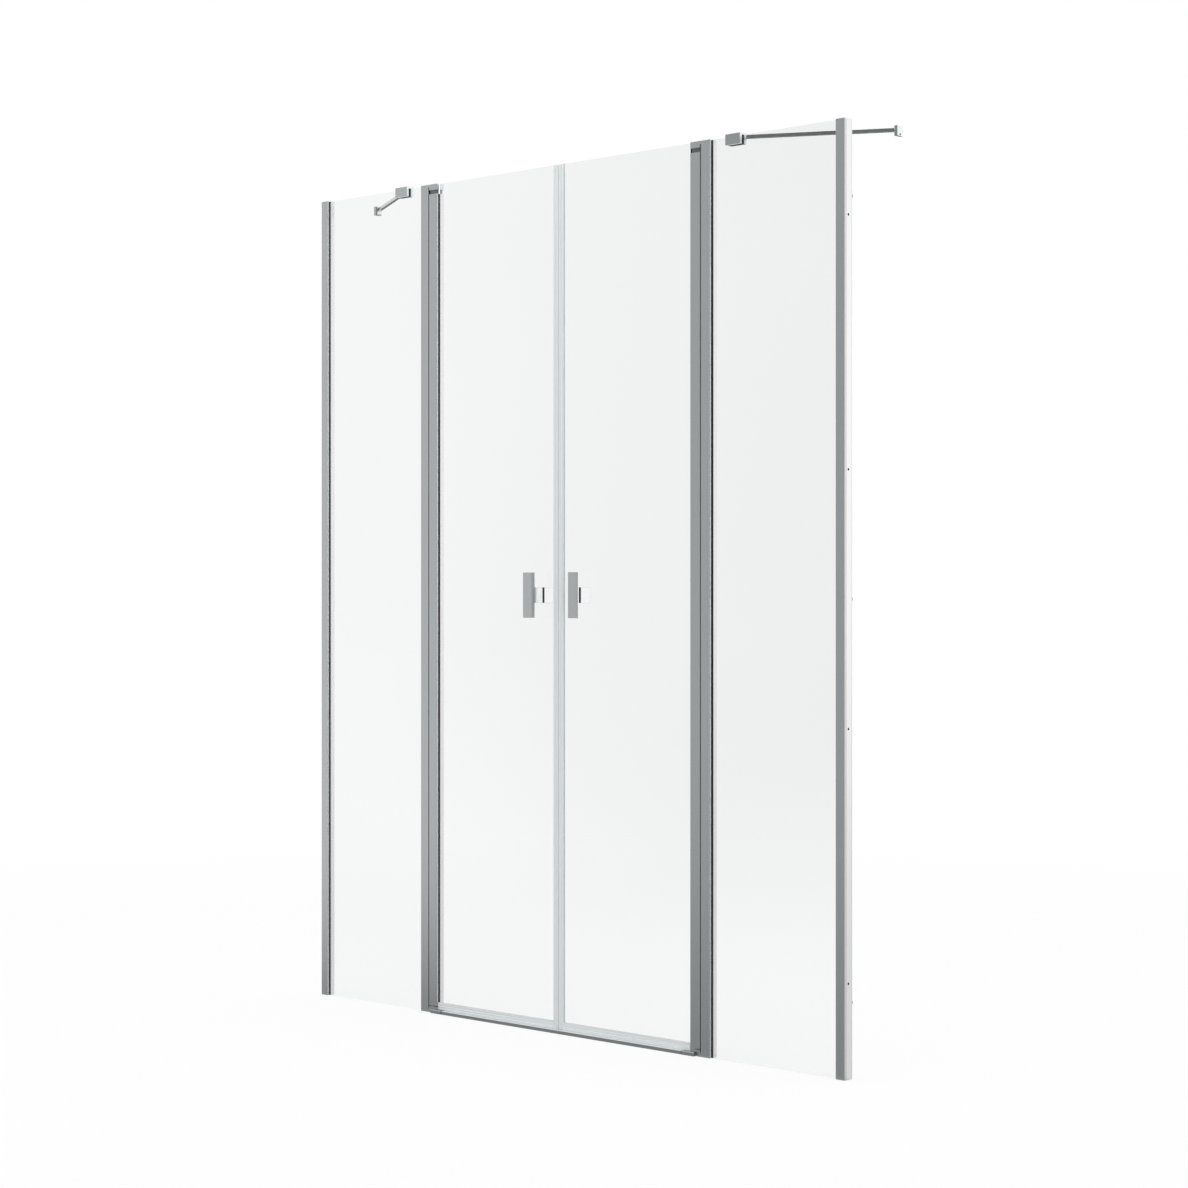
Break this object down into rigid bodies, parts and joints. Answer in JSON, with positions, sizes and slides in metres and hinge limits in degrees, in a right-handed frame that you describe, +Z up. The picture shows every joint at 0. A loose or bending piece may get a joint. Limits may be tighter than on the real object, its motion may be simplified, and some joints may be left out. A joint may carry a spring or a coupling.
{
  "type": "shower door",
  "caption": "Recess shower screen with fixed glass side panels and glass doors that swing outwards and rise on their pivots, in satin aluminium profiles with support bars.",
  "frame": {"origin": "middle of the doorway on the tray, under the middle plane of the glass", "axes": "+Z up, +X to the right seen from outside, +Y into the shower"},
  "size_m": [1.7, 0.22, 2.0062],
  "materials": {
    "satin_aluminium": "satin anodised",
    "dark_aluminium": "dark anodised",
    "satin_chrome": "fine satin",
    "clear_glass": "clear toughened",
    "clear_seal": "translucent",
    "black_rubber": "matte",
    "grey_plastic": "moulded",
    "magnet": "matte",
    "steel": "turned"
  },
  "bodies": {
    "frame": {"left_wall_channel": "satin_aluminium", "right_wall_channel": "satin_aluminium", "left_wall_profile": "satin_aluminium", "right_wall_profile": "satin_aluminium", "left_fixed_glass": "clear_glass", "right_fixed_glass": "clear_glass", "left_pivot_post": "satin_aluminium", "right_pivot_post": "satin_aluminium", "left_top_pivot_arm": "satin_aluminium", "right_top_pivot_arm": "satin_aluminium", "left_bottom_pivot_bracket": "satin_aluminium", "right_bottom_pivot_bracket": "satin_aluminium", "left_threshold_end": "satin_aluminium", "right_threshold_end": "satin_aluminium", "left_glass_clamp": "satin_chrome", "right_glass_clamp": "satin_chrome", "left_support_bar": "satin_chrome", "right_support_bar": "satin_chrome", "left_wall_flange": "satin_chrome", "right_wall_flange": "satin_chrome", "threshold_rail": "satin_aluminium", "fixed_glazing_gaskets": "black_rubber", "wall_profile_caps": "satin_aluminium", "adjusting_screws": "steel", "screw_caps": "grey_plastic", "pivot_end_screws": "steel", "lower_cams": "grey_plastic", "lower_pivot_pins": "steel", "top_pivot_bushes": "grey_plastic", "clamp_gaskets": "black_rubber", "clamp_set_screws": "steel"},
    "left_lift": {"left_top_pivot_pin": "dark_aluminium"},
    "left_door": {"left_door_stile": "satin_aluminium", "left_door_glass": "clear_glass", "left_door_gasket": "black_rubber", "left_upper_cam": "grey_plastic", "left_stile_top_plug": "grey_plastic", "left_magnet_seal": "clear_seal", "left_magnet_strip": "magnet", "left_bottom_seal": "clear_seal", "left_handle_grip": "satin_chrome", "left_handle_stem": "satin_chrome", "left_handle_knob": "satin_chrome", "left_handle_bush": "black_rubber", "left_handle_screw": "steel"},
    "right_lift": {"right_top_pivot_pin": "dark_aluminium"},
    "right_door": {"right_door_stile": "satin_aluminium", "right_door_glass": "clear_glass", "right_door_gasket": "black_rubber", "right_upper_cam": "grey_plastic", "right_stile_top_plug": "grey_plastic", "right_magnet_seal": "clear_seal", "right_magnet_strip": "magnet", "right_bottom_seal": "clear_seal", "right_handle_grip": "satin_chrome", "right_handle_stem": "satin_chrome", "right_handle_knob": "satin_chrome", "right_handle_bush": "black_rubber", "right_handle_screw": "steel"}
  },
  "joints": [
    {"name": "left_rise", "type": "slide", "parent": "frame", "child": "left_lift", "axis": [0, 0, 1], "range_m": [0, 0.0062]},
    {"name": "left_swing", "type": "hinge", "parent": "left_lift", "child": "left_door", "pos_m": [-0.42895, 0, 1], "axis": [0, 0, -1], "range_deg": [0, 90]},
    {"name": "right_rise", "type": "slide", "parent": "frame", "child": "right_lift", "axis": [0, 0, 1], "range_m": [0, 0.0062]},
    {"name": "right_swing", "type": "hinge", "parent": "right_lift", "child": "right_door", "pos_m": [0.42895, 0, 1], "axis": [0, 0, 1], "range_deg": [0, 90]}
  ],
  "couplings": [
    {"joint": "left_rise", "follows": "left_swing", "m_per_rad": 0.0038197},
    {"joint": "right_rise", "follows": "right_swing", "m_per_rad": 0.0038197}
  ]
}
